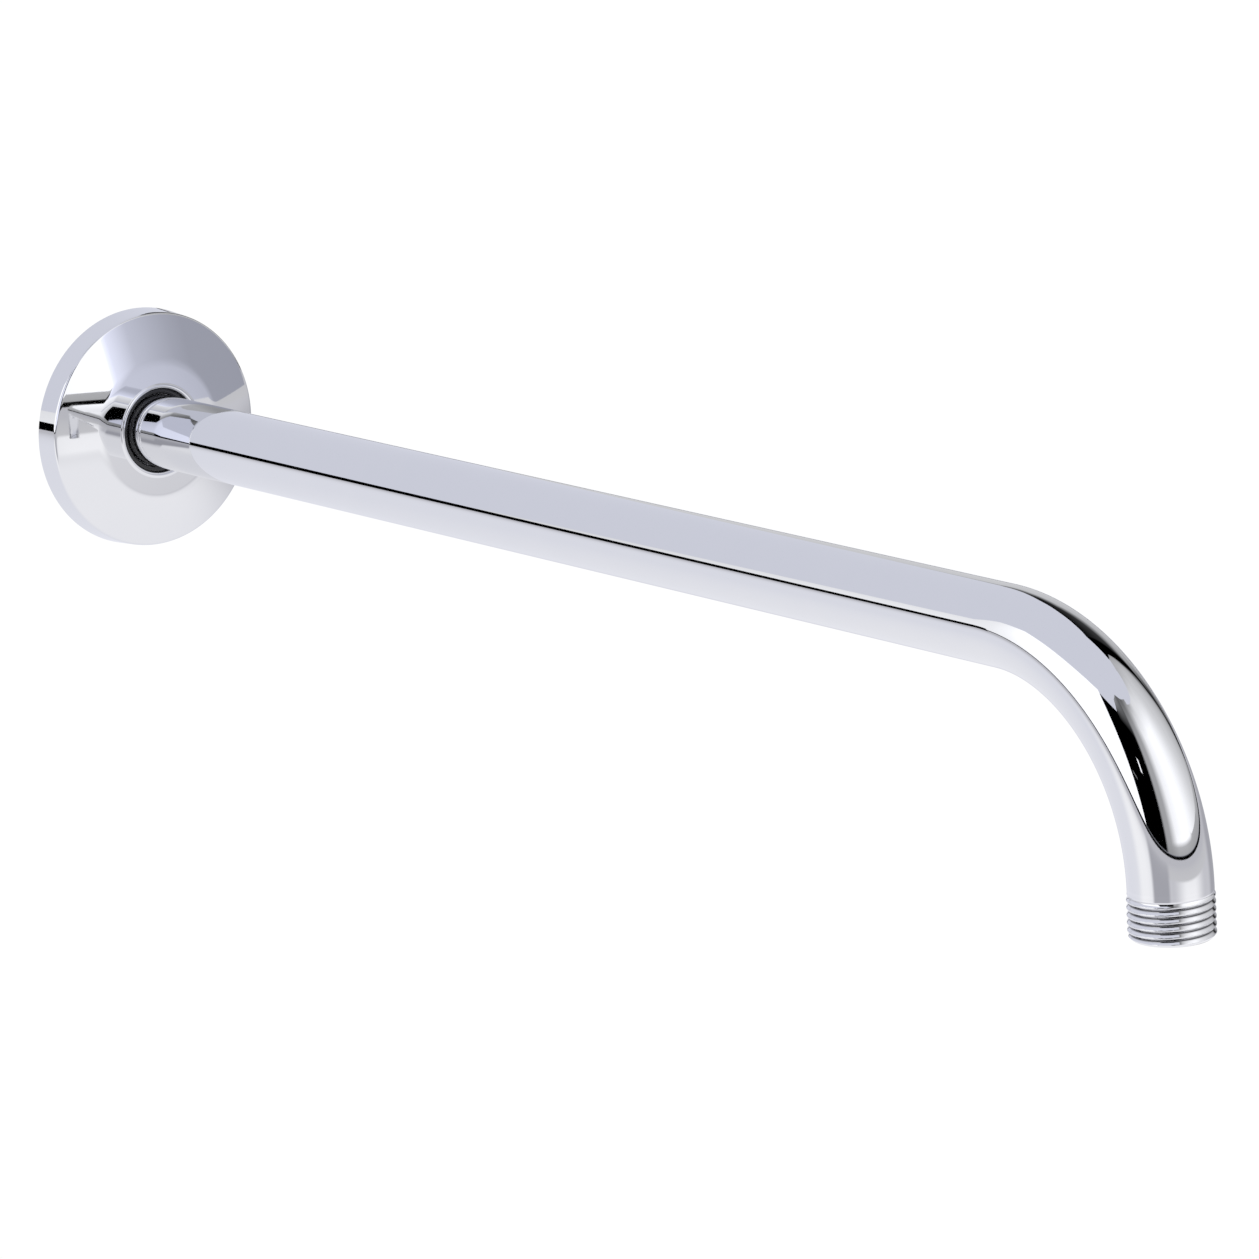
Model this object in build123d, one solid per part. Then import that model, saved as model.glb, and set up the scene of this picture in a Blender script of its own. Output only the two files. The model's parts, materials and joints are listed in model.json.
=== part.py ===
from build123d import *
from math import radians, sqrt, tan
import os

# Wall shower arm: a bent pipe, a loose wall flange and the rubber ring that holds the flange.
# Frame: the origin is on the pipe's axis at the wall face, +X runs out of the wall and +Z is up.
# The outlet points straight down. All lengths are in millimetres and all angles in degrees.

# Pipe
tube_diameter = 20.5
tube_wall = 2.25
reach = 431.0
bend_radius = 55.0
inlet_length = 22.0
outlet_shank_length = 0.2
mouth_chamfer = 0.5

# Pipe threads, as blanks at the size of the crests, which stand out from the pipe by a small step
crest_step = 0.2275
inlet_thread_length = 16.0
outlet_thread_length = 10.8
thread_lead_chamfer = 0.8

# Wall flange
flange_diameter = 67.8
flange_wall = 1.6
rim_height = 7.7
rim_draft = 4.0
rim_edge_radius = 0.9
face_bulge = 0.17
crown_diameter = 39.2
crown_height = 11.0
crown_edge_radius = 15.0
lip_height = 0.3
lip_radius = 0.85
lip_fillet = 0.3
inside_fillet = 1.0

# Rubber ring and its seat behind the lip
ring_section = 2.0
ring_clearance = 0.05
groove_clearance = 0.05
lip_overlap = 0.35
lip_depth = 1.1
guide_clearance = 0.35
guide_length = 4.4

# Sizes that follow from those above
tube_radius = tube_diameter / 2
bore_radius = tube_radius - tube_wall
thread_radius = tube_radius + crest_step
bend_start = reach - bend_radius
shank_start = inlet_thread_length - inlet_length
shank_end = bend_radius + outlet_shank_length
outlet_end = shank_end + outlet_thread_length
ring_radius = tube_radius + ring_clearance + ring_section / 2
groove_radius = ring_radius + ring_section / 2 + groove_clearance
lip_top = crown_height + lip_height
groove_front = lip_top - lip_depth
groove_back = groove_front - ring_section - 2 * groove_clearance
throat_radius = groove_radius - lip_overlap
guide_radius = tube_radius + guide_clearance
guide_back = groove_back - guide_length
collar_radius = groove_radius + flange_wall
rim_radius = flange_diameter / 2
rim_lean = tan(radians(rim_draft))
crown_radius = crown_diameter / 2

# Corners of the flange's section, as points (height, radius)
rim_edge = Vector(rim_height, rim_radius - rim_height * rim_lean)
crown_edge = Vector(crown_height, crown_radius)
lip_centre = Vector(lip_top - lip_radius, throat_radius + lip_radius)
lip_rise = crown_height - lip_centre.X
lip_foot = Vector(crown_height, lip_centre.Y + sqrt(lip_radius**2 - lip_rise**2))
collar_root = Vector(crown_height - flange_wall, collar_radius)
crown_root = Vector(crown_height - flange_wall, crown_radius)
rim_inside = rim_height - flange_wall
rim_root = Vector(rim_inside, rim_radius - flange_wall - rim_inside * rim_lean)


def pipe_path(start, end):
    """Centre line from start, behind or before the wall face, to end, below the pipe's axis."""
    level_run = Line((start, 0), (bend_start, 0))
    bend = TangentArc(level_run @ 1, (reach, -bend_radius), tangent=level_run % 1)
    drop = Line(bend @ 1, (reach, -end))
    return Plane.XZ * (level_run + bend + drop)


def pipe_run(radius, start, end):
    """Solid rod of the given radius along the pipe's centre line."""
    return sweep(Plane.YZ.offset(start) * Circle(radius), pipe_path(start, end))


def thread_blank(length):
    """Plain cylinder over a thread's crests, with its open end at the bottom."""
    blank = Cylinder(thread_radius, length, align=(Align.CENTER, Align.CENTER, Align.MAX))
    open_end = blank.faces().sort_by(Axis.Z)[0]
    return chamfer(open_end.edges(), thread_lead_chamfer)


def make_shower_arm():
    """Bent pipe with a thread blank on each end and one waterway through it."""
    shank = pipe_run(tube_radius, shank_start, shank_end)
    inlet = Plane.YZ.offset(shank_start) * thread_blank(inlet_thread_length)
    outlet = Pos(X=reach, Z=-shank_end) * thread_blank(outlet_thread_length)
    arm = shank + inlet + outlet - pipe_run(bore_radius, -inlet_length, outlet_end)
    mouths = [arm.faces().sort_by(Axis.X)[0], arm.faces().sort_by(Axis.Z)[0]]
    mouth_edges = [mouth.edges().sort_by(SortBy.LENGTH)[0] for mouth in mouths]
    return chamfer(mouth_edges, mouth_chamfer)


def flange_front():
    """Outer line of the flange from the wall over the rim, domed face and flat crown to the round lip."""
    rim = Line((0, rim_radius), rim_edge)
    chord = crown_edge - rim_edge
    face_top = rim_edge + chord * 0.5 + Vector(-chord.Y, chord.X).normalized() * face_bulge
    face = ThreePointArc(rim_edge, face_top, crown_edge)
    crown = Line(crown_edge, lip_foot)
    lip = ThreePointArc(lip_foot, (lip_top, lip_centre.Y), (lip_centre.X, throat_radius))
    return rim + face + crown + lip


def flange_back():
    """Inner line of the flange from the lip, through the ring's groove, back to the wall."""
    return Polyline(
        (lip_centre.X, throat_radius),
        (groove_front, throat_radius),
        (groove_front, groove_radius),
        (groove_back, groove_radius),
        (groove_back, guide_radius),
        (guide_back, guide_radius),
        (guide_back, collar_radius),
        collar_root,
        crown_root,
        rim_root,
        (0, rim_radius - flange_wall),
        (0, rim_radius),
    )


def make_flange():
    """Turned shell: rim, domed face, flat crown and round lip, open at the back."""
    section = make_face(flange_front() + flange_back())
    rounds = (
        (rim_edge, rim_edge_radius),
        (crown_edge, crown_edge_radius),
        (lip_foot, lip_fillet),
        (collar_root, inside_fillet),
        (rim_root, inside_fillet),
    )
    for corner, radius in rounds:
        section = fillet(section.vertices().sort_by_distance(corner)[0], radius)
    return revolve(Plane.XZ * section, Axis.X)


def make_flange_o_ring():
    """Round rubber ring in the groove behind the lip."""
    centre = (groove_front + groove_back) / 2
    section = Pos(centre, ring_radius) * Circle(ring_section / 2)
    return revolve(Plane.XZ * section, Axis.X)


os.makedirs("parts", exist_ok=True)
export_step(make_shower_arm(), "parts/shower_arm.step")
export_step(make_flange(), "parts/flange.step")
export_step(make_flange_o_ring(), "parts/flange_o_ring.step")
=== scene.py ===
import json
from cmath import phase, rect
from math import cos, pi, radians, sin, sqrt, tan

import bpy
from mathutils import Matrix, Vector


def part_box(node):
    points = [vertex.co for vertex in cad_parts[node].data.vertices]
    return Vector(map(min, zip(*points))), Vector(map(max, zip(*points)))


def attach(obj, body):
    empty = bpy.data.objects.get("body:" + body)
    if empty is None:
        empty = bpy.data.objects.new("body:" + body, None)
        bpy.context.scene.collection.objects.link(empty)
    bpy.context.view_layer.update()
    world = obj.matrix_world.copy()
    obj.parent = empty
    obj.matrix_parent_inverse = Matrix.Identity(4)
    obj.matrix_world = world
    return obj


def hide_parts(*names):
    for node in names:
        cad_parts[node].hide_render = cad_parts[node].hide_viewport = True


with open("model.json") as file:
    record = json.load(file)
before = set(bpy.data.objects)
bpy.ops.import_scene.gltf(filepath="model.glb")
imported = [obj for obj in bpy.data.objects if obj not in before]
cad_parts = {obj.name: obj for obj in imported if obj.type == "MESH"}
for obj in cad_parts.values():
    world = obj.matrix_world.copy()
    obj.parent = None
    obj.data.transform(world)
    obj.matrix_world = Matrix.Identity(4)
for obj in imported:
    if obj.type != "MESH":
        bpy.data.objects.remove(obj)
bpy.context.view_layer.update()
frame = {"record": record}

# Wall shower arm: a bent chrome pipe with real threads, its wall flange and the rubber ring in the flange.
# Lengths are in metres. The pipe's axis leaves the wall along +X, turns down and ends along -Z.

# Sizes that the frame gives
outlet_mount = next(mount for mount in frame["record"]["mounts"] if mount["name"] == "outlet_thread")
reach = outlet_mount["pos_m"][0]
crest_radius = outlet_mount["dims"]["r_mm"] / 1000
arm_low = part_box("shower_arm")[0]
flange_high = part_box("flange")[1]
ring_low, ring_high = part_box("flange_o_ring")
inlet_end = arm_low.x
outlet_drop = -arm_low.z
rim_radius = flange_high.z
lip_top = flange_high.x
ring_section = ring_high.x - ring_low.x
ring_radius = ring_high.z - ring_section / 2
ring_centre = (ring_low.x + ring_high.x) / 2

# Pipe
tube_radius = 0.01025
bore_radius = 0.008
bend_radius = 0.055
mouth_chamfer = 0.0005

# Threads. The two flats are shares of the pitch.
thread_pitch = 0.001814
thread_depth = 0.00062
thread_crest_flat = 0.15
thread_root_flat = 0.06
thread_lead = 0.0008
thread_shoulder = 0.0006
thread_run_up = 0.0016
thread_run_out = 0.0026
inlet_thread_length = 0.016
outlet_thread_length = 0.0108

# Wall flange
flange_wall = 0.0016
rim_height = 0.0077
rim_draft = radians(4.0)
rim_edge_radius = 0.0009
face_bulge = 0.00017
crown_radius = 0.0196
crown_edge_radius = 0.0150
lip_height = 0.0003
lip_radius = 0.00085
lip_fillet = 0.0003
inside_fillet = 0.0010
groove_clearance = 0.00005
lip_overlap = 0.00035
guide_clearance = 0.00035
guide_length = 0.0044

# Fineness of the meshes
pipe_segments = 144
flange_segments = 240
ring_segments = 144
bend_steps = 96
straight_steps = 30
outlet_steps_per_turn = 28
inlet_steps_per_turn = 14
arc_steps = 24
round_steps = 12
hold_share = 0.02
inside_share = 0.75
crease_angle = radians(32)
weld_distance = 0.000001

# Finishes: their colours, the height of their fine relief and the pitch of the turned rings
chrome_plate = (0.795, 0.800, 0.820)
chrome_haze = (0.815, 0.818, 0.832)
# The flank colour is a painted highlight that makes the thread's flanks lighter than the plate
painted_flank_highlight = (0.95, 0.95, 0.97)
# The root colour is painted shade, near black, in the thread's roots
painted_root_shade = (0.015, 0.015, 0.018)
chrome_relief = 0.000004
brass_bright = (0.66, 0.49, 0.26)
brass_dull = (0.40, 0.27, 0.13)
brass_relief = 0.00003
plate_pale = (0.58, 0.58, 0.60)
plate_stained = (0.46, 0.46, 0.47)
plate_relief = 0.00002
plate_ring_pitch = 0.0006
rubber_black = (0.010, 0.010, 0.011)
rubber_dusty = (0.028, 0.028, 0.030)
rubber_relief = 0.000001

# Camera at the photograph's angle
view_azimuth = radians(53.15)
view_elevation = radians(13.52)
view_roll = radians(3.30)
view_target = Vector((0.2242, 0.0020, -0.0251))
view_distance = 1.6
view_lens = 177.27
view_sensor = 36.0

# Floor and sky of the studio
floor_height = -0.25
floor_half_size = 24.0
mirror_lift = 0.002
floor_white = (1.02, 1.02, 1.02)
floor_near = (0.97, 0.97, 1.00)
floor_shade = (0.84, 0.85, 0.92)
floor_far = (0.58, 0.58, 0.62)
floor_behind = (0.72, 0.72, 0.79)
floor_front = (0.44, 0.44, 0.48)
floor_apron = (0.66, 0.66, 0.68)
floor_bright = (1.06, 1.06, 1.08)
floor_side = (0.66, 0.66, 0.70)
floor_rear = (0.43, 0.43, 0.47)
sky_black = (0, 0, 0)
sky_colour = (0.72, 0.735, 0.825)
horizon_low = sin(radians(0.6))
horizon_high = sin(radians(1.6))

# Cards and screens of the studio
card_colour = (0.97, 0.975, 1.0)
card_step = 4.0
card_distance = 8.0
near_card_distance = 6.0
far_card_distance = 9.8
backdrop_distance = 20.0
tent_distance = 0.7
tent_centre = Vector((reach, 0, -0.03))
face_screen_colour = (0.94, 0.965, 1.13)
face_screen_place = 0.10
face_screen_levels = (-0.014, 0.030, 0.075)
notch_screen_levels = (0.012, 0.070)
hub_screen_levels = (0.012, 0.080, 0.086, 0.200)

# Places along the pipe's centre line, counted from the wall face
bend_start = reach - bend_radius
bend_end = bend_start + bend_radius * pi / 2
outlet_end = bend_end + outlet_drop - bend_radius

# Heights and radii of the flange that follow from those above
crown_height = lip_top - lip_height
groove_front = ring_high.x + groove_clearance
groove_back = ring_low.x - groove_clearance
groove_radius = ring_high.z + groove_clearance
throat_radius = groove_radius - lip_overlap
lip_centre_height = lip_top - lip_radius


class Wire:
    """A node's output socket, which adds Math nodes to its tree when it is used in a sum."""

    def __init__(self, socket):
        self.socket = socket

    def combine(self, operation, *terms):
        """Adds a Math node to the wire's tree. Its terms are wires or plain numbers."""
        nodes = Nodes(self.socket.id_data)
        return nodes.add("ShaderNodeMath", {"operation": operation}, dict(enumerate(terms)))["Value"]

    def math(self, operation, *others):
        """Adds a Math node that takes the wire as its first term."""
        return self.combine(operation, self, *others)

    def __add__(self, other):
        return self.combine("ADD", self, other)

    def __radd__(self, other):
        return self.combine("ADD", other, self)

    def __sub__(self, other):
        return self.combine("SUBTRACT", self, other)

    def __rsub__(self, other):
        return self.combine("SUBTRACT", other, self)

    def __mul__(self, other):
        return self.combine("MULTIPLY", self, other)

    def __rmul__(self, other):
        return self.combine("MULTIPLY", other, self)

    def __truediv__(self, other):
        return self.combine("DIVIDE", self, other)

    def __rtruediv__(self, other):
        return self.combine("DIVIDE", other, self)

    def __mod__(self, other):
        return self.combine("FLOORED_MODULO", self, other)

    def __gt__(self, other):
        return self.combine("GREATER_THAN", self, other)


class Nodes:
    """A node tree that takes new nodes by their type, settings and sockets."""

    def __init__(self, tree):
        self.tree = tree

    def add(self, kind, settings=None, sockets=None):
        """Adds a node and returns its outputs by name. A socket is given by name or by number."""
        node = self.tree.nodes.new(kind)
        for name, value in (settings or {}).items():
            setattr(node, name, value)
        for key, value in (sockets or {}).items():
            self.join(node, key, value)
        return {socket.name: Wire(socket) for socket in node.outputs if socket.enabled}

    def join(self, node, key, value):
        """Links a wire to a node's input, or sets the input to a plain value."""
        if isinstance(key, str):
            socket = next(entry for entry in node.inputs if entry.name == key and entry.enabled)
        else:
            socket = node.inputs[key]
        if isinstance(value, Wire):
            self.tree.links.new(value.socket, socket)
        else:
            socket.default_value = value


# Outlines. A point is a complex number: its real part runs along the axis, its imaginary part is the radius.


def line(start, end, steps):
    """Points from start to just before end."""
    return [start + (end - start) * step / steps for step in range(steps)]


def arc(centre, start, end, steps=arc_steps):
    """Points from start to just before end, the short way round centre."""
    turn = phase((end - centre) / (start - centre))
    return [centre + (start - centre) * rect(1, turn * step / steps) for step in range(steps)]


def rounded(before, corner, after, radius):
    """Points of a round corner, with its last point, for an outline that runs before, corner, after."""
    back = (before - corner) / abs(before - corner)
    onward = (after - corner) / abs(after - corner)
    half = abs(phase(onward / back)) / 2
    reach_back = radius / tan(half)
    middle = (back + onward) / abs(back + onward)
    centre = corner + middle * radius / sin(half)
    start = corner + back * reach_back
    end = corner + onward * reach_back
    return arc(centre, start, end, round_steps) + [end]


def held(start, end):
    """Points close to both ends of a straight stretch, which keep its shading straight."""
    return [start + (end - start) * share for share in (hold_share, 1 - hold_share)]


def toward(start, goal, distance):
    """Point at a distance from start in the direction of goal."""
    return start + (goal - start) / abs(goal - start) * distance


def beside(centre, distance, height):
    """Point at a height that lies outward of a centre at a distance from it."""
    return complex(height, centre.imag + sqrt(distance**2 - (height - centre.real) ** 2))


def pipe_outline():
    """The pipe's wall in half section, as points with how far the thread is cut there and if it is bore."""
    inlet_root = inlet_end + inlet_thread_length
    outlet_root = outlet_end - outlet_thread_length
    inlet_top = inlet_root + thread_run_up
    outlet_top = outlet_root - thread_run_up
    inlet_steps = round((inlet_top - inlet_end) / thread_pitch * inlet_steps_per_turn)
    outlet_steps = round((outlet_end - outlet_top) / thread_pitch * outlet_steps_per_turn)

    def skin(place):
        """Outer radius before the thread is cut."""
        from_root = max(inlet_root - place, place - outlet_root)
        from_end = min(place - inlet_end, outlet_end - place)
        raised = min(max(from_root / thread_shoulder, 0), 1)
        led_in = crest_radius - max(thread_lead - from_end, 0)
        return min(tube_radius + raised * (crest_radius - tube_radius), led_in)

    def cut(place):
        """Depth of the thread, from nothing where it runs up into the pipe to full after the run-out."""
        from_top = max(inlet_top - place, place - outlet_top)
        return min(max(from_top / thread_run_out, 0), 1)

    places = line(inlet_end, inlet_top, inlet_steps)
    places += line(inlet_top, bend_start, straight_steps)
    places += line(bend_start, outlet_top, bend_steps)
    places += line(outlet_top, outlet_end, outlet_steps) + [outlet_end]
    points = [complex(place, skin(place)) for place in places]
    cuts = [cut(place) for place in places]

    bore = [
        complex(outlet_end, bore_radius + mouth_chamfer),
        complex(outlet_end - mouth_chamfer, bore_radius),
    ]
    bore += [complex(place, bore_radius) for place in line(bend_end, bend_start, bend_steps)]
    bore += [
        complex(bend_start, bore_radius),
        complex(inlet_end + mouth_chamfer, bore_radius),
        complex(inlet_end, bore_radius + mouth_chamfer),
    ]
    inside = [0] * len(points) + [1] * len(bore)
    return points + bore, cuts + [0] * len(bore), inside


def flange_front():
    """Outer line of the flange: drafted rim, domed face, flat crown and round lip."""
    wall_edge = complex(0, rim_radius)
    rim_edge = complex(rim_height, rim_radius - rim_height * tan(rim_draft))

    # The face is an arc that stands proud of its chord by the bulge
    chord = complex(crown_height, crown_radius) - rim_edge
    proud = chord / abs(chord) * 1j
    face_radius = (abs(chord / 2) ** 2 + face_bulge**2) / (2 * face_bulge)
    face_centre = rim_edge + chord / 2 - proud * (face_radius - face_bulge)
    along = (rim_edge - face_centre) * -1j
    rim_round = rounded(wall_edge, rim_edge, rim_edge + along, rim_edge_radius)

    # A wide round leads from the face to the level crown, and a small one from the crown to the lip
    edge_centre = beside(face_centre, face_radius - crown_edge_radius, crown_height - crown_edge_radius)
    face_end = toward(face_centre, edge_centre, face_radius)
    crown_start = edge_centre + crown_edge_radius
    lip_centre = complex(lip_centre_height, throat_radius + lip_radius)
    foot_centre = beside(lip_centre, lip_radius + lip_fillet, crown_height + lip_fillet)
    crown_end = foot_centre - lip_fillet
    lip_start = toward(lip_centre, foot_centre, lip_radius)
    crest = lip_centre + lip_radius

    points = [wall_edge] + held(wall_edge, rim_round[0]) + rim_round
    points += arc(face_centre, toward(face_centre, rim_round[-1], face_radius), face_end)[1:]
    points += arc(edge_centre, face_end, crown_start)
    points += [crown_start] + held(crown_start, crown_end)
    points += arc(foot_centre, crown_end, lip_start, round_steps)
    points += arc(lip_centre, lip_start, crest)
    return points + arc(lip_centre, crest, complex(lip_centre_height, throat_radius))


def flange_throat():
    """Line from the round lip through the throat and along the ring's groove."""
    return [
        complex(lip_centre_height, throat_radius),
        complex(groove_front, throat_radius),
        complex(groove_front, groove_radius),
        complex(groove_back, groove_radius),
    ]


def flange_back():
    """Inner line of the flange behind the groove: guide bore, collar and hollow back."""
    guide_radius = tube_radius + guide_clearance
    guide_back = groove_back - guide_length
    collar_radius = groove_radius + flange_wall
    crown_inside = crown_height - flange_wall
    rim_inside = rim_height - flange_wall
    collar_end = complex(guide_back, collar_radius)
    collar_root = complex(crown_inside, collar_radius)
    crown_root = complex(crown_inside, crown_radius)
    rim_root = complex(rim_inside, rim_radius - flange_wall - rim_inside * tan(rim_draft))
    wall_edge = complex(0, rim_radius - flange_wall)
    points = [complex(groove_back, guide_radius), complex(guide_back, guide_radius), collar_end]
    points += rounded(collar_end, collar_root, crown_root, inside_fillet) + [crown_root]
    points += rounded(crown_root, rim_root, wall_edge, inside_fillet)
    return points + [wall_edge]


def flange_outline():
    """The flange in half section, with its unpolished back marked as inside."""
    polished = flange_front() + flange_throat()
    unpolished = flange_back()
    inside = [0] * len(polished) + [1] * len(unpolished)
    return polished + unpolished, [0] * len(inside), inside


def ring_outline():
    """The rubber ring in half section."""
    centre = complex(ring_centre, ring_radius)
    points = [centre + rect(ring_section / 2, 2 * pi * step / arc_steps) for step in range(arc_steps)]
    return points, [0] * arc_steps, [0] * arc_steps


# Round pieces. One tree turns an outline about the pipe's centre line and cuts the threads.


def thread_groove(nodes, along, turn, pitch):
    """Depth of a right-hand thread at a place along and round the pipe, from 0 at a crest to 1 at a root."""
    tooth = (along / pitch + turn) % 1
    sockets = {
        "Value": (tooth * 2 - 1).math("ABSOLUTE"),
        "From Min": thread_crest_flat,
        "From Max": 1 - thread_root_flat,
        "To Min": 0.0,
        "To Max": 1.0,
    }
    return nodes.add("ShaderNodeMapRange", sockets=sockets)["Result"]


def on_centre_line(nodes, along, radius, turn, start, bend):
    """Place in space of a point at a distance along the bent centre line, a radius and a turn about it."""
    past = (along - start).math("MAXIMUM", 0)
    angle = (past / bend).math("MINIMUM", pi / 2)
    drop = (past - bend * (pi / 2)).math("MAXIMUM", 0)
    round_angle = turn * (2 * pi)
    out = radius * round_angle.math("COSINE")
    side = radius * round_angle.math("SINE")
    x = along.math("MINIMUM", start) + (bend + out) * angle.math("SINE")
    z = (bend + out) * angle.math("COSINE") - bend - drop
    return nodes.add("ShaderNodeCombineXYZ", sockets={"X": x, "Y": side, "Z": z})["Vector"]


def round_piece_sockets(tree):
    """Gives the tree of the round pieces its named inputs and its output."""
    sizes = {
        "Bend Start": bend_start,
        "Bend Radius": bend_radius,
        "Thread Pitch": thread_pitch,
        "Thread Depth": thread_depth,
    }
    interface = tree.interface
    interface.new_socket("Outline", in_out="INPUT", socket_type="NodeSocketGeometry")
    interface.new_socket("Segments", in_out="INPUT", socket_type="NodeSocketInt")
    for name, size in sizes.items():
        interface.new_socket(name, in_out="INPUT", socket_type="NodeSocketFloat").default_value = size
    interface.new_socket("Largest Radius", in_out="INPUT", socket_type="NodeSocketFloat")
    for name in ("Outside", "Inside"):
        interface.new_socket(name, in_out="INPUT", socket_type="NodeSocketMaterial")
    interface.new_socket("Piece", in_out="OUTPUT", socket_type="NodeSocketGeometry")


def round_piece_tree():
    """Geometry nodes that turn an outline's points into a closed round piece."""
    tree = bpy.data.node_groups.new("round_piece", "GeometryNodeTree")
    round_piece_sockets(tree)
    nodes = Nodes(tree)
    given = nodes.add("NodeGroupInput")
    outline = given["Outline"]

    # A grid has a row for each point of the outline, with the first one again at the end
    count = nodes.add("GeometryNodeAttributeDomainSize", sockets={"Geometry": outline})["Point Count"]
    columns = given["Segments"] + 1
    sockets = {"Vertices X": count + 1, "Vertices Y": columns}
    grid = nodes.add("GeometryNodeMeshGrid", sockets=sockets)["Mesh"]
    index = nodes.add("GeometryNodeInputIndex")["Index"]
    row = (index / columns).math("FLOOR") % count
    turn = (index % columns) / given["Segments"]

    def from_outline(value, data_type):
        """An outline's value, read at each vertex of the grid by its row."""
        sockets = {"Geometry": outline, "Value": value, "Index": row}
        return nodes.add("GeometryNodeSampleIndex", {"data_type": data_type}, sockets)["Value"]

    def attribute(name):
        """A named number of the points."""
        return nodes.add("GeometryNodeInputNamedAttribute", sockets={"Name": name})["Attribute"]

    def passed(piece, kind, sockets, settings=None):
        """The piece after one more node."""
        return nodes.add(kind, settings, {"Geometry": piece, **sockets})["Geometry"]

    point = from_outline(nodes.add("GeometryNodeInputPosition")["Position"], "FLOAT_VECTOR")
    split = nodes.add("ShaderNodeSeparateXYZ", sockets={"Vector": point})
    cut = from_outline(attribute("cut"), "FLOAT")
    inside = from_outline(attribute("inside"), "FLOAT")

    groove = cut * thread_groove(nodes, split["X"], turn, given["Thread Pitch"])
    groove_floor = given["Largest Radius"] - groove * given["Thread Depth"]
    radius = groove_floor.math("MINIMUM", split["Y"])
    place = on_centre_line(nodes, split["X"], radius, turn, given["Bend Start"], given["Bend Radius"])

    # Edges that turn by more than the crease angle are sharp, and a face is inside when more than the
    # inside share of its corners is
    crease = nodes.add("GeometryNodeInputMeshEdgeAngle")["Unsigned Angle"] > crease_angle
    sharp = {"Selection": crease, "Shade Smooth": False}
    inner = {"Selection": attribute("inside") > inside_share, "Material": given["Inside"]}
    piece = passed(grid, "GeometryNodeStoreNamedAttribute", {"Name": "groove", "Value": groove})
    piece = passed(piece, "GeometryNodeStoreNamedAttribute", {"Name": "inside", "Value": inside})
    piece = passed(piece, "GeometryNodeSetPosition", {"Position": place})
    piece = passed(piece, "GeometryNodeMergeByDistance", {"Distance": weld_distance})
    piece = passed(piece, "GeometryNodeSetShadeSmooth", {})
    piece = passed(piece, "GeometryNodeSetShadeSmooth", sharp, {"domain": "EDGE"})
    piece = passed(piece, "GeometryNodeRealizeInstances", {})
    piece = passed(piece, "GeometryNodeSetMaterial", {"Material": given["Outside"]})
    piece = passed(piece, "GeometryNodeSetMaterial", inner)
    nodes.add("NodeGroupOutput", sockets={"Piece": piece})
    return tree


def round_piece(name, tree, outline, segments, outside, inside):
    """One finished round piece, as a plain mesh at its place in the frame."""
    points, cuts, insides = outline
    mesh = bpy.data.meshes.new(name)
    mesh.from_pydata([(point.real, point.imag, 0) for point in points], [], [])
    for label, values in (("cut", cuts), ("inside", insides)):
        mesh.attributes.new(label, "FLOAT", "POINT").data.foreach_set("value", values)
    piece = bpy.data.objects.new(name, mesh)
    bpy.context.scene.collection.objects.link(piece)
    modifier = piece.modifiers.new("turn", "NODES")
    modifier.node_group = tree
    inputs = {entry.name: entry.identifier for entry in tree.interface.items_tree if entry.in_out == "INPUT"}
    modifier[inputs["Segments"]] = segments
    modifier[inputs["Largest Radius"]] = max(point.imag for point in points)
    modifier[inputs["Outside"]] = outside
    modifier[inputs["Inside"]] = inside
    evaluated = piece.evaluated_get(bpy.context.evaluated_depsgraph_get())
    finished = bpy.data.meshes.new_from_object(evaluated)
    piece.modifiers.clear()
    piece.data = finished
    return piece


# Finishes


def new_finish(name, metallic):
    """A material with a Principled shader, its tree and the place on the piece."""
    material = bpy.data.materials.new(name)
    material.use_nodes = True
    shader = material.node_tree.nodes["Principled BSDF"]
    shader.inputs["Metallic"].default_value = metallic
    nodes = Nodes(material.node_tree)
    return material, nodes, shader, nodes.add("ShaderNodeTexCoord")["Object"]


def noise(nodes, place, scale, detail, stretch=(1, 1, 1)):
    """Noise of a number of blotches to the metre, which may be drawn out along an axis."""
    stretched = nodes.add("ShaderNodeMapping", sockets={"Vector": place, "Scale": stretch})["Vector"]
    sockets = {"Vector": stretched, "Scale": scale, "Detail": detail}
    return nodes.add("ShaderNodeTexNoise", sockets=sockets)["Fac"]


def tint(nodes, amount, first, second):
    """Colour that goes from the first, plain or wired, to the second with the amount."""
    start = first if isinstance(first, Wire) else (*first, 1)
    sockets = {"Factor": amount, "A": start, "B": (*second, 1)}
    return nodes.add("ShaderNodeMix", {"data_type": "RGBA"}, sockets)["Result"]


def bump(nodes, height, distance):
    """Normal of a surface that is raised by the height times the distance."""
    return nodes.add("ShaderNodeBump", sockets={"Height": height, "Distance": distance})["Normal"]


def bright_chrome():
    """Polished chrome plate: a faint haze, a slight wave in the metal below, painted highlight on the
    thread's flanks, painted shade in its roots.
    """
    material, nodes, shader, place = new_finish("bright_chrome", 1.0)
    haze = noise(nodes, place, 90.0, detail=5.0)
    wave = noise(nodes, place, 45.0, detail=1.0)
    groove = nodes.add("ShaderNodeAttribute", {"attribute_name": "groove"})["Fac"]
    # Painted shade: near the thread's roots the colour goes near black, and the roughness rises there too
    root = groove.math("POWER", 5.0)
    plate = tint(nodes, haze, chrome_plate, chrome_haze)
    # Painted highlight: the colour grows lighter from the crest down the thread's flanks
    flank_highlight = tint(nodes, groove, plate, painted_flank_highlight)
    nodes.join(shader, "Base Color", tint(nodes, root * 0.95, flank_highlight, painted_root_shade))
    nodes.join(shader, "Roughness", 0.012 + haze * 0.03 + root * 0.05)
    nodes.join(shader, "Normal", bump(nodes, wave, chrome_relief))
    return material


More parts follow.
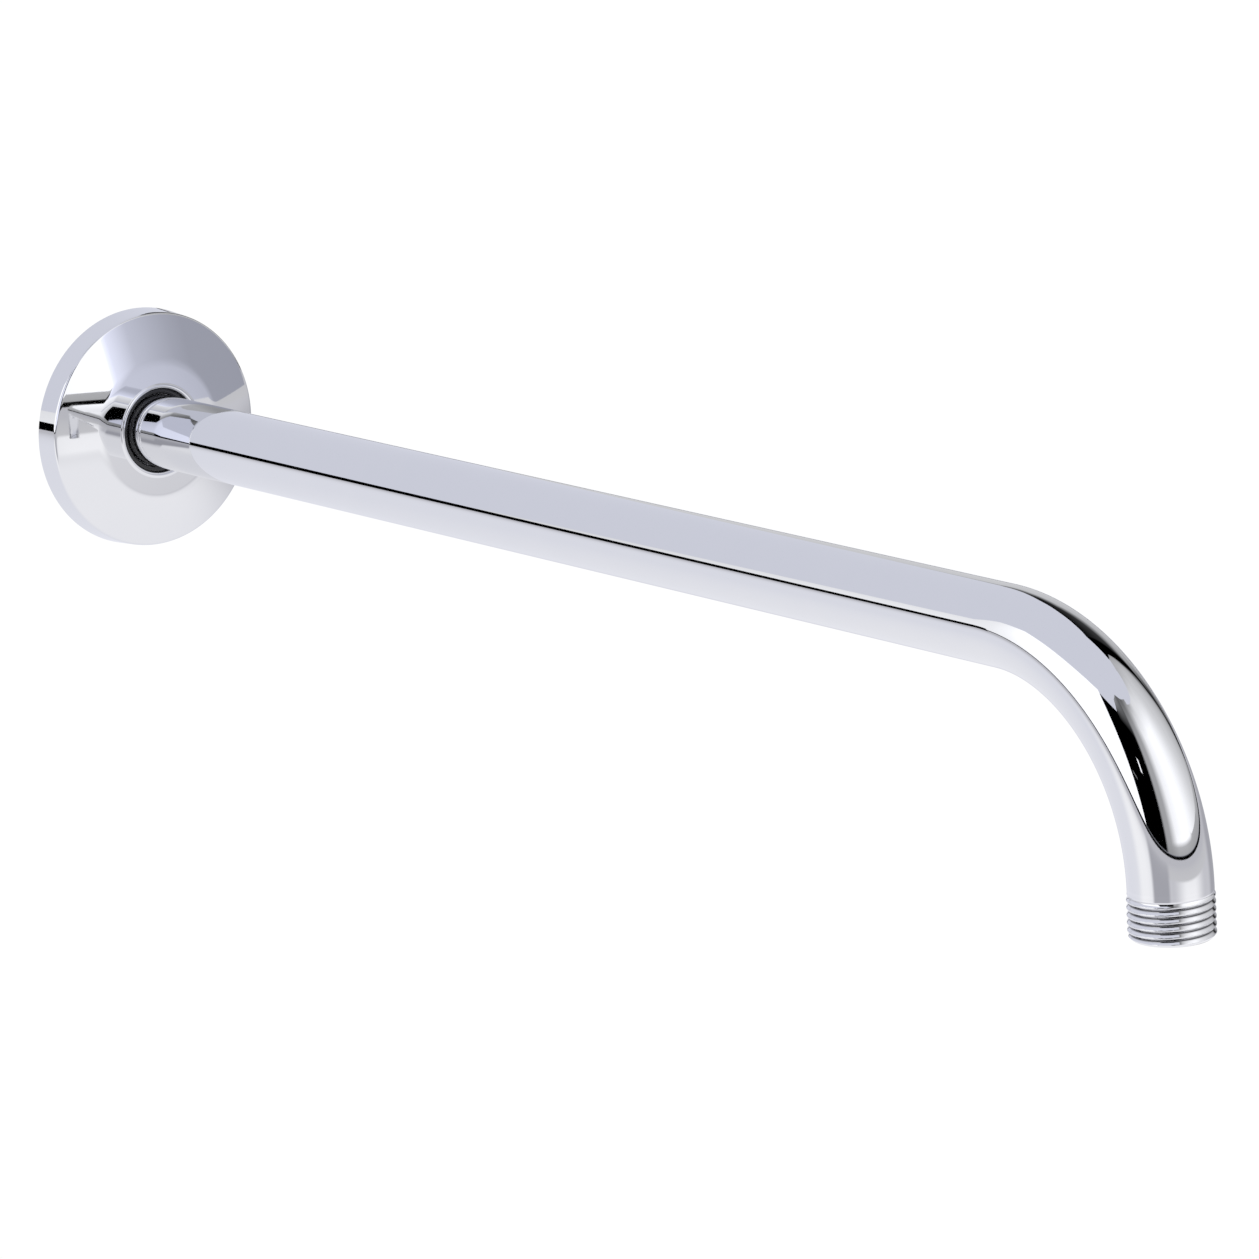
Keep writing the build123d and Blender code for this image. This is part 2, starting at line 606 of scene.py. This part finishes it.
def raw_brass():
    """Bore of the pipe: drawn brass with dull streaks along it."""
    material, nodes, shader, place = new_finish("raw_brass", 1.0)
    streak = noise(nodes, place, 400.0, detail=4.0, stretch=(0.05, 1, 0.3))
    nodes.join(shader, "Base Color", tint(nodes, streak, brass_bright, brass_dull))
    nodes.join(shader, "Roughness", 0.28 + streak * 0.22)
    nodes.join(shader, "Normal", bump(nodes, streak, brass_relief))
    return material


def dull_plate():
    """Back of the flange: thin plate over unpolished metal, with the rings that turning leaves."""
    material, nodes, shader, place = new_finish("dull_plate", 1.0)
    split = nodes.add("ShaderNodeSeparateXYZ", sockets={"Vector": place})
    radius = (split["Y"] * split["Y"] + split["Z"] * split["Z"]).math("SQRT")
    rings = (radius * (2 * pi / plate_ring_pitch)).math("SINE")
    stain = noise(nodes, place, 120.0, detail=5.0)
    nodes.join(shader, "Base Color", tint(nodes, stain, plate_pale, plate_stained))
    nodes.join(shader, "Roughness", 0.34 + stain * 0.16)
    nodes.join(shader, "Normal", bump(nodes, rings * 0.5 + stain, plate_relief))
    return material


def black_rubber():
    """Smooth black rubber with a very fine moulded grain and a little dust."""
    material, nodes, shader, place = new_finish("black_rubber", 0.0)
    grain = noise(nodes, place, 2600.0, detail=4.0)
    dust = noise(nodes, place, 300.0, detail=5.0)
    nodes.join(shader, "Base Color", tint(nodes, dust, rubber_black, rubber_dusty))
    nodes.join(shader, "Roughness", 0.08 + dust * 0.10)
    nodes.join(shader, "Normal", bump(nodes, grain, rubber_relief))
    return material


# Studio


def new_light(name):
    """A material for a surface that only gives off light, with its tree and its output."""
    material = bpy.data.materials.new(name)
    material.use_nodes = True
    nodes = Nodes(material.node_tree)
    nodes.tree.nodes.remove(nodes.tree.nodes["Principled BSDF"])
    return material, nodes, nodes.tree.nodes["Material Output"]


def fade(nodes, value, start, end):
    """Rises from 0 to 1 as the value goes from start to end."""
    sockets = {"Value": value, "From Min": start, "From Max": end, "To Min": 0.0, "To Max": 1.0}
    return nodes.add("ShaderNodeMapRange", {"interpolation_type": "SMOOTHSTEP"}, sockets)["Result"]


def card_finish(name, colour, clear_back=False):
    """Light of a card, as strong as its points say. A card with a clear back is lit on its front alone."""
    material, nodes, output = new_light(name)
    glow = nodes.add("ShaderNodeAttribute", {"attribute_name": "glow"})["Fac"]
    tone = nodes.add("ShaderNodeVectorMath", {"operation": "SCALE"}, {0: colour, "Scale": glow})["Vector"]
    surface = nodes.add("ShaderNodeEmission", sockets={"Color": tone})["Emission"]
    if clear_back:
        back = nodes.add("ShaderNodeNewGeometry")["Backfacing"]
        clear = nodes.add("ShaderNodeBsdfTransparent")["BSDF"]
        surface = nodes.add("ShaderNodeMixShader", sockets={0: back, 1: surface, 2: clear})["Shader"]
    nodes.join(output, "Surface", surface)
    return material


def white_floor_finish():
    """Even white light of the floor and the backdrop that the camera sees."""
    material, nodes, output = new_light("white_floor")
    light = nodes.add("ShaderNodeEmission", sockets={"Color": (*floor_white, 1)})["Emission"]
    nodes.join(output, "Surface", light)
    return material


def mirrored_floor_finish():
    """Light of the floor that the chrome mirrors, shaded in sectors about the bend."""
    material, nodes, output = new_light("mirrored_floor")
    place = nodes.add("ShaderNodeTexCoord")["Object"]
    split = nodes.add("ShaderNodeSeparateXYZ", sockets={"Vector": place})

    # Places are in metres. The space clear of the bend and the apron go by the square of a distance.
    square = split["X"] * split["X"] + split["Y"] * split["Y"]
    beyond = split["X"] - reach
    bearing = split["Y"].math("ARCTAN2", beyond)
    clear = fade(nodes, beyond * beyond + split["Y"] * split["Y"], 0.08, 0.45)

    def sector(first, last, ease):
        """Rises to 1 clear of the bend, over an ease inside the first and last bearing, in degrees."""
        rise = fade(nodes, bearing, radians(first), radians(first + ease))
        return clear * rise * fade(nodes, bearing, radians(last), radians(last - ease))

    shade = fade(nodes, split["X"], 0.40, -0.40)
    behind = fade(nodes, split["Y"], 0.10, 0.35) * fade(nodes, split["X"], -0.55, -0.30)
    apron = fade(nodes, square, 2.6, 3.4) * fade(nodes, split["X"], 0.5, 0.9)
    far = fade(nodes, square.math("SQRT"), 1.0, 5.0)
    areas = (
        (behind * sector(100, 180, 30), floor_behind),
        (sector(-135, -84, 20), floor_bright),
        (sector(-60, 125, 25), floor_side),
        (sector(-35, 62, 40), floor_bright),
        (apron, floor_apron),
        (sector(75, 145, 20), floor_rear),
        (sector(-92, -38, 10), floor_front),
        (far, floor_far),
    )
    tone = tint(nodes, shade, floor_near, floor_shade)
    for amount, colour in areas:
        tone = tint(nodes, amount, tone, colour)
    light = nodes.add("ShaderNodeEmission", sockets={"Color": tone})["Emission"]
    nodes.join(output, "Surface", light)
    return material


def staged(name, vertices, faces, material):
    """A mesh of the studio, which isn't part of the object."""
    mesh = bpy.data.meshes.new(name)
    mesh.from_pydata(vertices, [], faces)
    mesh.materials.append(material)
    thing = bpy.data.objects.new(name, mesh)
    bpy.context.scene.collection.objects.link(thing)
    return thing


def floor_sheet(name, height, material):
    """A flat sheet under the object."""
    size = floor_half_size
    corners = [(-size, -size), (size, -size), (size, size), (-size, size)]
    return staged(name, [(x, y, height) for x, y in corners], [(0, 1, 2, 3)], material)


def sheet(name, vertices, glows, column_count, material):
    """A sheet through columns of points, each with a glow, which the camera doesn't see."""
    rows = len(vertices) // column_count
    corners = [column * rows + row for column in range(column_count - 1) for row in range(rows - 1)]
    faces = [(corner, corner + rows, corner + rows + 1, corner + 1) for corner in corners]
    thing = staged(name, vertices, faces, material)
    thing.data.attributes.new("glow", "FLOAT", "POINT").data.foreach_set("value", glows)
    thing.visible_camera = False
    return thing


def between(first, second, share):
    """Numbers that lie a share of the way from the first ones to the second."""
    return [start + (end - start) * share for start, end in zip(first, second)]


def card(name, columns, material, distance=card_distance, centre=view_target):
    """A card curved round a centre. A column is an angle from +X, then elevation and glow by level."""
    stations = []
    for first, second in zip(columns, columns[1:]):
        steps = max(1, round((second[0] - first[0]) / card_step))
        stations += [between(first, second, step / steps) for step in range(steps)]
    stations.append(columns[-1])
    vertices = []
    glows = []
    for azimuth, *levels in stations:
        for elevation, strength in zip(levels[0::2], levels[1::2]):
            level = distance * cos(radians(elevation))
            across = Vector((cos(radians(azimuth)), sin(radians(azimuth)), 0)) * level
            vertices.append(centre + across + Vector((0, 0, distance * sin(radians(elevation)))))
            glows.append(strength)
    return sheet(name, vertices, glows, len(stations), material)


def flat_screen(name, columns, levels, material):
    """A flat screen before the flange. A column is a place across the pipe, then a glow for each level."""
    vertices = [(face_screen_place, side, level) for side, *tones in columns for level in levels]
    glows = [tone for side, *tones in columns for tone in tones]
    sheet(name, vertices, glows, len(columns), material)


def make_floor():
    """Plain white floor and backdrop for the camera, and just above it the floor that the chrome mirrors."""
    white = white_floor_finish()
    floor_sheet("floor", floor_height, white)
    all_round = [
        (0, -2, 1, 60, 1),
        (360, -2, 1, 60, 1),
    ]
    backdrop = card("backdrop", all_round, white, backdrop_distance)
    backdrop.visible_camera = True
    backdrop.visible_glossy = False
    backdrop.visible_diffuse = False
    mirrored = floor_sheet("mirrored_floor", floor_height + mirror_lift, mirrored_floor_finish())
    mirrored.visible_camera = False


def make_front_cards(finish):
    """White wall of light on the left, and the dark gap before the object with two small lights in it."""
    left_wall = [
        (217, 1, 0.84, 5, 0.80),
        (221, 1, 1.02, 12, 0.98),
        (226, 1, 1.10, 24, 1.05),
        (234, 1, 1.35, 33, 1.35),
        (270, 1, 1.35, 45, 1.35),
        (282, 1, 1.35, 48, 1.35),
    ]
    front_gap = [
        (282, 1, 0.0, 44, 0.00, 45, 0.00, 46, 0.00),
        (303, 1, 0.0, 44, 0.00, 46, 0.00, 48, 0.00),
        (311, 1, 0.0, 44, 0.00, 51, 0.12, 57, 0.35),
        (322, 1, 0.0, 42, 0.00, 52, 0.12, 62, 0.20),
    ]
    front_lamp = [
        (304.6, 24, 1.3, 29, 1.3),
        (307.2, 24, 1.3, 29, 1.3),
    ]
    front_glint = [
        (286, 16, 0.2, 17, 0.2),
        (291, 16, 0.2, 17, 0.2),
    ]
    card("left_wall", left_wall, finish)
    card("front_gap", front_gap, finish)
    card("front_lamp", front_lamp, finish, near_card_distance)
    card("front_glint", front_glint, finish, near_card_distance)


def make_right_cards(finish):
    """White wall of light on the right, with a curved screen close to the bend."""
    right_wall = [
        (322, 1, 0.05, 4, 0.05, 6, 0.05, 10, 0.05),
        (326, 1, 0.35, 4, 0.40, 6, 0.42, 10, 0.42),
        (336, 1, 0.38, 4, 0.42, 6, 0.45, 10, 0.45),
        (352, 1, 0.48, 4, 0.55, 6, 1.20, 10, 1.20),
        (375, 1, 0.48, 4, 0.55, 6, 1.35, 10, 1.35),
        (390, 1, 0.45, 4, 0.51, 6, 1.24, 10, 1.24),
        (397, 1, 0.44, 4, 0.50, 6, 0.56, 10, 0.60),
        (424, 1, 0.44, 4, 0.46, 6, 0.46, 10, 0.46),
        (427, 1, 0.44, 4, 0.50, 6, 0.84, 10, 0.84),
        (452, 1, 0.44, 4, 0.50, 6, 0.60, 10, 0.60),
        (461, 1, 0.34, 4, 0.36, 6, 0.36, 10, 0.30),
        (464, 1, 0.00, 4, 0.00, 6, 0.00, 10, 0.00),
    ]
    right_edge = [
        (322, 8, 0.05, 36, 0.05, 50, 0.10, 62, 0.15),
        (326, 8, 0.42, 36, 0.45, 50, 0.30, 62, 0.15),
        (336, 8, 0.45, 36, 0.45, 50, 0.40, 62, 0.15),
        (352, 8, 1.20, 36, 1.20, 50, 1.00, 63, 0.35),
    ]
    right_screen = [
        (350, 8, 1.15, 48, 1.10, 57, 0.80, 63, 0.35),
        (375, 8, 1.35, 48, 1.35, 57, 0.98, 63, 0.85),
        (388, 8, 1.28, 48, 1.28, 57, 0.97, 63, 0.85),
        (395, 5, 1.22, 48, 1.22, 57, 0.95, 63, 0.85),
        (420, 5, 0.92, 48, 0.84, 57, 0.78, 63, 0.60),
        (432, 5, 0.78, 48, 0.72, 57, 0.68, 63, 0.50),
    ]
    right_back = [
        (384, 9, 0.66, 56, 0.58),
        (404, 9, 0.64, 56, 0.56),
        (418, 9, 0.42, 56, 0.40),
        (425, 9, 0.42, 56, 0.40),
    ]
    right_end = [
        (425, 8, 0.84, 26, 0.82, 48, 0.78, 62, 0.55),
        (440, 8, 0.70, 26, 0.68, 48, 0.66, 60, 0.50),
        (449, 8, 0.62, 26, 0.58, 44, 0.56, 54, 0.40),
        (453, 8, 0.58, 22, 0.50, 32, 0.25, 38, 0.00),
        (457, 8, 0.55, 13, 0.40, 20, 0.00, 24, 0.00),
        (461, 8, 0.35, 9, 0.20, 11, 0.00, 14, 0.00),
        (464, 8, 0.00, 9, 0.00, 10, 0.00, 11, 0.00),
    ]
    card("right_wall", right_wall, finish)
    card("right_edge", right_edge, finish)
    card("right_screen", right_screen, finish, tent_distance, tent_centre)
    card("right_back", right_back, finish, far_card_distance)
    card("right_end", right_end, finish)


def make_rear_cards(finish):
    """Dark gap behind the object, a dim arch of light beside it and a low dark strip by the wall."""
    rear_gap = [
        (80, 1, 0.0, 61, 0.0),
        (101, 1, 0.0, 63, 0.0),
    ]
    rear_arch = [
        (100, 1, 0.00, 14, 0.00, 22, 0.00, 30, 0.00, 63, 0.0),
        (104, 1, 0.00, 14, 0.05, 22, 0.42, 32, 0.05, 63, 0.0),
        (109, 1, 0.08, 8, 0.30, 20, 0.52, 34, 0.05, 60, 0.0),
        (114, 1, 0.48, 8, 0.54, 20, 0.54, 36, 0.05, 58, 0.0),
        (126, 1, 0.66, 14, 0.64, 28, 0.60, 38, 0.03, 51, 0.0),
        (135, 1, 0.70, 14, 0.68, 26, 0.66, 35, 0.02, 43, 0.0),
        (143, 1, 0.70, 10, 0.70, 20, 0.68, 24, 0.30, 27, 0.3),
    ]
    low_gap = [
        (204, -2, 0.0, 4.6, 0.0),
        (225, -1.2, 0.0, 2.6, 0.0),
    ]
    card("rear_gap", rear_gap, finish, far_card_distance)
    card("rear_arch", rear_arch, finish)
    card("low_gap", low_gap, finish, near_card_distance)


def make_face_screens():
    """Screens that shade the flange's face, lit on the side toward it and clear from the bend's side."""
    finish = card_finish("face_screen", face_screen_colour, clear_back=True)

    # The columns run toward -Y, so that the fronts face the flange
    face_screen = [
        (0.215, 0.41, 0.41, 0.41),
        (0.100, 0.42, 0.42, 0.42),
        (0.080, 0.56, 0.47, 0.47),
        (0.060, 0.70, 0.55, 0.55),
        (0.036, 0.78, 0.66, 0.66),
        (0.016, 1.00, 1.00, 1.00),
        (0.0115, 1.25, 1.25, 1.25),
    ]
    notch_screen = [
        (-0.032, 0.0, 0.0),
        (-0.060, 0.0, 0.0),
    ]
    hub_screen = [
        (-0.060, 0.76, 0.76, 0.76, 0.76),
        (-0.085, 1.05, 1.05, 0.76, 0.76),
        (-0.300, 1.20, 1.20, 0.76, 0.76),
    ]
    flat_screen("face_screen", face_screen, face_screen_levels, finish)
    flat_screen("notch_screen", notch_screen, notch_screen_levels, finish)
    flat_screen("hub_screen", hub_screen, hub_screen_levels, finish)


def make_sky():
    """Soft pale sky over the floor, dark at the horizon."""
    world = bpy.data.worlds.new("studio")
    bpy.context.scene.world = world
    world.use_nodes = True
    nodes = Nodes(world.node_tree)
    direction = nodes.add("ShaderNodeTexCoord")["Generated"]
    height = nodes.add("ShaderNodeSeparateXYZ", sockets={"Vector": direction})["Z"]
    above = fade(nodes, height, horizon_low, horizon_high)
    nodes.join(world.node_tree.nodes["Background"], "Color", tint(nodes, above, sky_black, sky_colour))


def make_camera():
    """Camera at the photograph's viewing angle."""
    lens = bpy.data.cameras.new("camera")
    lens.lens = view_lens
    lens.sensor_width = view_sensor
    camera = bpy.data.objects.new("camera", lens)
    bpy.context.scene.collection.objects.link(camera)
    turn = Matrix.Rotation(view_azimuth, 3, "Z") @ Matrix.Rotation(pi / 2 - view_elevation, 3, "X")
    turn = turn @ Matrix.Rotation(-view_roll, 3, "Z")
    camera.matrix_world = Matrix.LocRotScale(view_target + turn @ Vector((0, 0, view_distance)), turn, None)
    bpy.context.scene.camera = camera


make_camera()
make_floor()
studio_card = card_finish("studio_card", card_colour)
make_front_cards(studio_card)
make_right_cards(studio_card)
make_rear_cards(studio_card)
make_face_screens()
make_sky()
bpy.context.scene.view_settings.view_transform = "Standard"

chrome = bright_chrome()
tree = round_piece_tree()

pipe = round_piece("bent_pipe", tree, pipe_outline(), pipe_segments, chrome, raw_brass())
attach(pipe, "arm")
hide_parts("shower_arm")

shell = round_piece("flange_shell", tree, flange_outline(), flange_segments, chrome, dull_plate())
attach(shell, "wall_flange")
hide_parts("flange")

rubber = black_rubber()
ring = round_piece("rubber_ring", tree, ring_outline(), ring_segments, rubber, rubber)
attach(ring, "wall_flange")
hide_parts("flange_o_ring")
